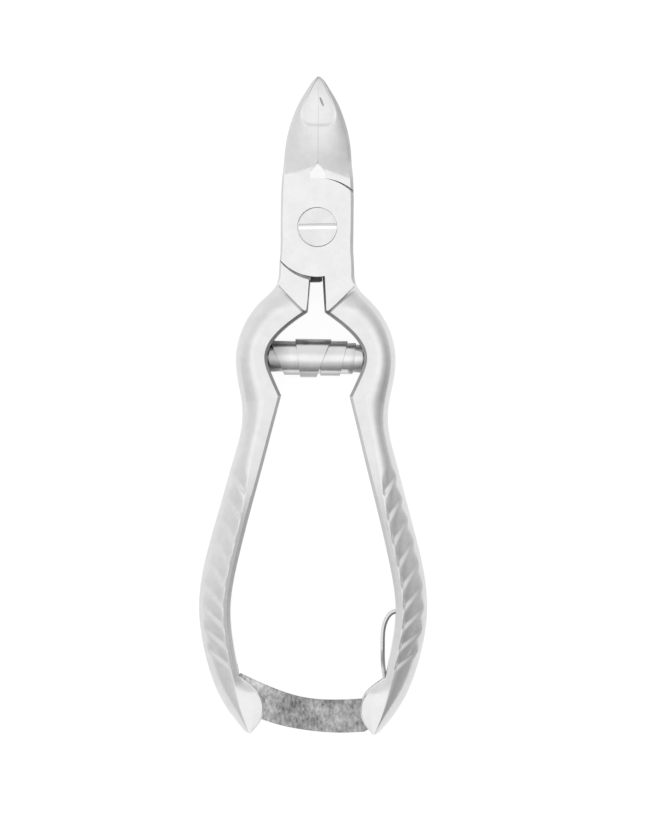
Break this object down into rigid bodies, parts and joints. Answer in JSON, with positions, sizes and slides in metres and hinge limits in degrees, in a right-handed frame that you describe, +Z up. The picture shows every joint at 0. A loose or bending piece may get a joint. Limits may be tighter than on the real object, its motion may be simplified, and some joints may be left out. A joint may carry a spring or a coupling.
{
  "type": "nail nipper",
  "caption": "Plier-type nail clipper with curved jaws, lap joint, barrel return spring, fluted handles and a latch strap across the handle ends.",
  "frame": {"origin": "middle of the underside of the closed tool's box, on the surface that it lies on", "axes": "+Y towards the jaw tips, +Z up through the flat of the joint, +X to the right when looking down with the jaws away from the viewer"},
  "size_m": [0.0488, 0.14, 0.0086],
  "materials": {
    "forged_steel": "satin-polished stainless steel",
    "screw_steel": "polished stainless steel",
    "spring_steel": "smooth rolled strip steel",
    "latch_steel": "coarsely ground plate steel",
    "leaf_steel": "smooth strip steel",
    "pin_steel": "plain turned steel"
  },
  "bodies": {
    "lower_arm": {"arm_jaw_right": "forged_steel", "pivot_screw": "screw_steel", "barrel_spring": "spring_steel", "spring_stud_left": "pin_steel", "catch_pin": "pin_steel"},
    "upper_arm": {"arm_jaw_left": "forged_steel", "spring_stud_right": "pin_steel", "latch_rivet": "pin_steel", "latch_leaf_spring": "leaf_steel"},
    "latch": {"latch_plate": "latch_steel"}
  },
  "joints": [
    {"name": "jaw_pivot", "type": "hinge", "parent": "lower_arm", "child": "upper_arm", "pos_m": [0, 0.0379, 0.0043], "axis": [0, 0, 1], "range_deg": [0, 14], "stiffness_Nm_per_rad": 1.2, "springref_deg": 21.2, "deforming": ["barrel_spring"]},
    {"name": "latch_swing", "type": "hinge", "parent": "upper_arm", "child": "latch", "pos_m": [0.0127, -0.0655, 0.0043], "axis": [0, 0, 1], "range_deg": [-60, 5]}
  ]
}
